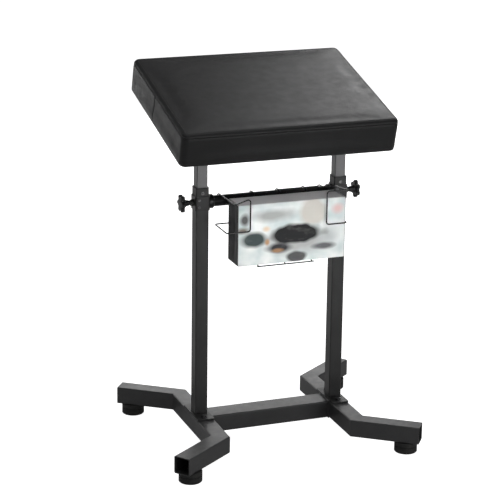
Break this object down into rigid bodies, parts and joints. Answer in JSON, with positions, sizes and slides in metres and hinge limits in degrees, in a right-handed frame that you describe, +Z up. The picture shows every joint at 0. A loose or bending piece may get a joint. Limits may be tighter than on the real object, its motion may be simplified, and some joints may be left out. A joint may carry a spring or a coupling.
{
  "type": "padded work stand",
  "caption": "Free-standing work stand with a tilted padded leather top on telescopic posts, star-knob clamps, a splayed tube base and a wire rack holding a carton.",
  "frame": {"origin": "on the floor, midway between the two posts", "axes": "+Z up, +Y to the back (the raised side of the cushion), +X to the right seen from the front"},
  "size_m": [0.5916, 0.4922, 0.8503],
  "materials": {
    "base_paint": "satin",
    "plate_paint": "satin",
    "post_paint": "satin",
    "rail_paint": "satin",
    "upper_paint": "satin",
    "black_rubber": "matte",
    "dark_zinc": "satin",
    "black_plastic": "satin",
    "pad_brass": "satin",
    "rack_wire": "gloss",
    "black_leather": "satin",
    "foam": "matte",
    "board_wood": "matte",
    "dust_fabric": "matte",
    "printed_card": "satin"
  },
  "bodies": {
    "frame": {"base_side_tube_left": "base_paint", "base_side_tube_right": "base_paint", "base_arm_front_left": "base_paint", "base_arm_back_left": "base_paint", "base_arm_front_right": "base_paint", "base_arm_back_right": "base_paint", "foot_front_left": "black_rubber", "foot_back_left": "black_rubber", "foot_front_right": "black_rubber", "foot_back_right": "black_rubber", "foot_screws": "dark_zinc", "foot_nuts": "dark_zinc", "crossbar": "base_paint", "foot_plate_left": "plate_paint", "foot_plate_right": "plate_paint", "foot_plate_bolts": "dark_zinc", "lower_post_left": "post_paint", "lower_post_right": "post_paint", "post_bush_left": "black_plastic", "post_bush_right": "black_plastic", "bush_rivets": "dark_zinc", "rail_bracket_left": "rail_paint", "rail_bracket_right": "rail_paint", "bracket_screws": "dark_zinc", "rail": "rail_paint", "rail_sleeve_inner": "black_rubber", "rail_sleeve_outer": "black_rubber", "clamp_boss_left": "post_paint", "clamp_boss_right": "post_paint"},
    "upper_frame": {"upper_post_left": "upper_paint", "upper_post_right": "upper_paint", "upper_post_cap_left": "black_plastic", "upper_post_cap_right": "black_plastic", "upper_post_guide_left": "black_plastic", "upper_post_guide_right": "black_plastic", "pivot_bolt_left": "dark_zinc", "pivot_bolt_right": "dark_zinc", "pivot_nut_left": "dark_zinc", "pivot_nut_right": "dark_zinc"},
    "cushion": {"cushion_cover": "black_leather", "cushion_foam": "foam", "cushion_board": "board_wood", "cushion_dust_cover": "dust_fabric", "tilt_bracket_left": "post_paint", "tilt_bracket_right": "post_paint", "tilt_bracket_screws": "dark_zinc"},
    "rack": {"rack_side_wire_left": "rack_wire", "rack_side_wire_right": "rack_wire", "rack_hanger_left": "rack_wire", "rack_hanger_middle": "rack_wire", "rack_hanger_right": "rack_wire", "rack_front_wire": "rack_wire"},
    "carton": {"carton": "printed_card"},
    "left_clamp_pad": {"clamp_pad_left": "pad_brass"},
    "left_clamp_knob": {"clamp_screw_left": "dark_zinc", "clamp_knob_left": "black_plastic"},
    "right_clamp_pad": {"clamp_pad_right": "pad_brass"},
    "right_clamp_knob": {"clamp_screw_right": "dark_zinc", "clamp_knob_right": "black_plastic"}
  },
  "joints": [
    {"name": "height_slide", "type": "slide", "parent": "frame", "child": "upper_frame", "axis": [0, 0, 1], "range_m": [-0.06, 0.22]},
    {"name": "cushion_tilt", "type": "hinge", "parent": "upper_frame", "child": "cushion", "pos_m": [0, 0, 0.682], "axis": [1, 0, 0], "range_deg": [-15.3, 25]},
    {"name": "left_clamp_feed", "type": "slide", "parent": "frame", "child": "left_clamp_pad", "axis": [-1, 0, 0], "range_m": [0, 0.0051]},
    {"name": "left_knob_turn", "type": "hinge", "parent": "left_clamp_pad", "child": "left_clamp_knob", "pos_m": [-0.2, 0, 0.565], "axis": [-1, 0, 0], "range_deg": [0, 1440]},
    {"name": "right_clamp_feed", "type": "slide", "parent": "frame", "child": "right_clamp_pad", "axis": [1, 0, 0], "range_m": [0, 0.0051]},
    {"name": "right_knob_turn", "type": "hinge", "parent": "right_clamp_pad", "child": "right_clamp_knob", "pos_m": [0.2, 0, 0.565], "axis": [1, 0, 0], "range_deg": [0, 1440]},
    {"name": "rack_swing", "type": "hinge", "parent": "frame", "child": "rack", "pos_m": [0, 0, 0.565], "axis": [1, 0, 0], "range_deg": [-35, 10]},
    {"name": "carton_lift", "type": "slide", "parent": "rack", "child": "carton", "axis": [0, 0, 1], "range_m": [0, 0.08]}
  ],
  "couplings": [
    {"joint": "left_clamp_feed", "follows": "left_knob_turn", "m_per_rad": 0.00019894},
    {"joint": "right_clamp_feed", "follows": "right_knob_turn", "m_per_rad": 0.00019894}
  ]
}
